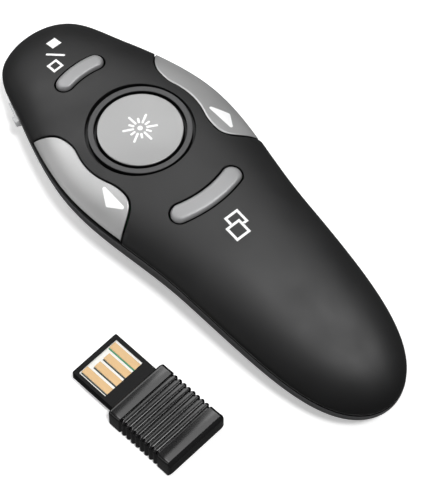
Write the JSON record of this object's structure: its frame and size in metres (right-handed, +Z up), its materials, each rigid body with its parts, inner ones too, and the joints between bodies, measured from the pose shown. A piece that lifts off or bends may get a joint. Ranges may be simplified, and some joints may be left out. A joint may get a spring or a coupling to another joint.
{
  "type": "wireless presentation clicker",
  "caption": "Wireless presentation clicker with arched black case, silver wing keys, round laser button, side power slider and a pull-out USB receiver",
  "frame": {"origin": "centre of the flat face that the case rests on, below the middle of its length", "axes": "+Y along the case to its head with the laser, +X to its right side, +Z up"},
  "size_m": [0.0598, 0.1099, 0.0209],
  "materials": {
    "top_black": "satin",
    "base_grey": "satin",
    "ring_grey": "satin",
    "button_silver": "satin",
    "key_silver": "satin",
    "slider_white": "gloss",
    "board_green": "satin",
    "chip_black": "matte",
    "tin": "satin",
    "brass": "satin",
    "lens": "clear",
    "bezel_black": "satin",
    "cell_skin": "satin",
    "screw_steel": "satin",
    "receiver_black": "gloss",
    "board_white": "satin",
    "gilt": "polished"
  },
  "bodies": {
    "case": {"top_shell": "top_black", "bottom_shell": "base_grey", "button_ring": "ring_grey", "main_board": "board_green", "tact_body_laser": "tin", "tact_body_screen": "tin", "tact_body_window": "tin", "tact_body_left": "tin", "tact_body_right": "tin", "slide_switch_body": "tin", "laser_barrel": "brass", "laser_lens": "lens", "nose_bezel": "bezel_black", "radio_chip": "chip_black", "crystal_can": "tin", "cell_left": "cell_skin", "cell_right": "cell_skin", "link_plate": "tin", "positive_plate": "tin", "negative_plate": "tin", "spring_front": "tin", "spring_rear": "tin", "case_screws": "screw_steel"},
    "laser_button_body": {"laser_button": "button_silver", "tact_stem_laser": "chip_black"},
    "screen_key_body": {"screen_key": "key_silver", "tact_stem_screen": "chip_black"},
    "window_key_body": {"window_key": "key_silver", "tact_stem_window": "chip_black"},
    "page_left_key_body": {"page_left_key": "key_silver", "tact_stem_left": "chip_black"},
    "page_right_key_body": {"page_right_key": "key_silver", "tact_stem_right": "chip_black"},
    "power_slider_body": {"power_slider": "slider_white", "slide_switch_lever": "chip_black"},
    "battery_door_body": {"battery_door": "base_grey"},
    "receiver": {"receiver_shell": "receiver_black", "receiver_frame": "receiver_black", "receiver_board": "board_white", "receiver_contacts": "gilt", "receiver_chip": "chip_black"}
  },
  "joints": [
    {"name": "laser_button_press", "type": "slide", "parent": "case", "child": "laser_button_body", "axis": [0, -0.0523, -0.9986], "range_m": [0, 0.0004], "stiffness_N_per_m": 500, "springref_m": -0.0008},
    {"name": "screen_key_press", "type": "slide", "parent": "case", "child": "screen_key_body", "axis": [0, 0, -1], "range_m": [0, 0.0004], "stiffness_N_per_m": 500, "springref_m": -0.0008},
    {"name": "window_key_press", "type": "slide", "parent": "case", "child": "window_key_body", "axis": [0, 0, -1], "range_m": [0, 0.0004], "stiffness_N_per_m": 500, "springref_m": -0.0008},
    {"name": "page_left_key_press", "type": "slide", "parent": "case", "child": "page_left_key_body", "axis": [0, 0, -1], "range_m": [0, 0.0004], "stiffness_N_per_m": 500, "springref_m": -0.0008},
    {"name": "page_right_key_press", "type": "slide", "parent": "case", "child": "page_right_key_body", "axis": [0, 0, -1], "range_m": [0, 0.0004], "stiffness_N_per_m": 500, "springref_m": -0.0008},
    {"name": "power_slide", "type": "slide", "parent": "case", "child": "power_slider_body", "axis": [0.2984, 0.9544, 0], "range_m": [0, 0.0025]},
    {"name": "door_slide", "type": "slide", "parent": "case", "child": "battery_door_body", "axis": [0, -1, 0], "range_m": [0, 0.07]},
    {"name": "receiver_lift", "type": "slide", "parent": "case", "child": "receiver", "axis": [0, 0, 1], "range_m": [0, 0.03]}
  ]
}
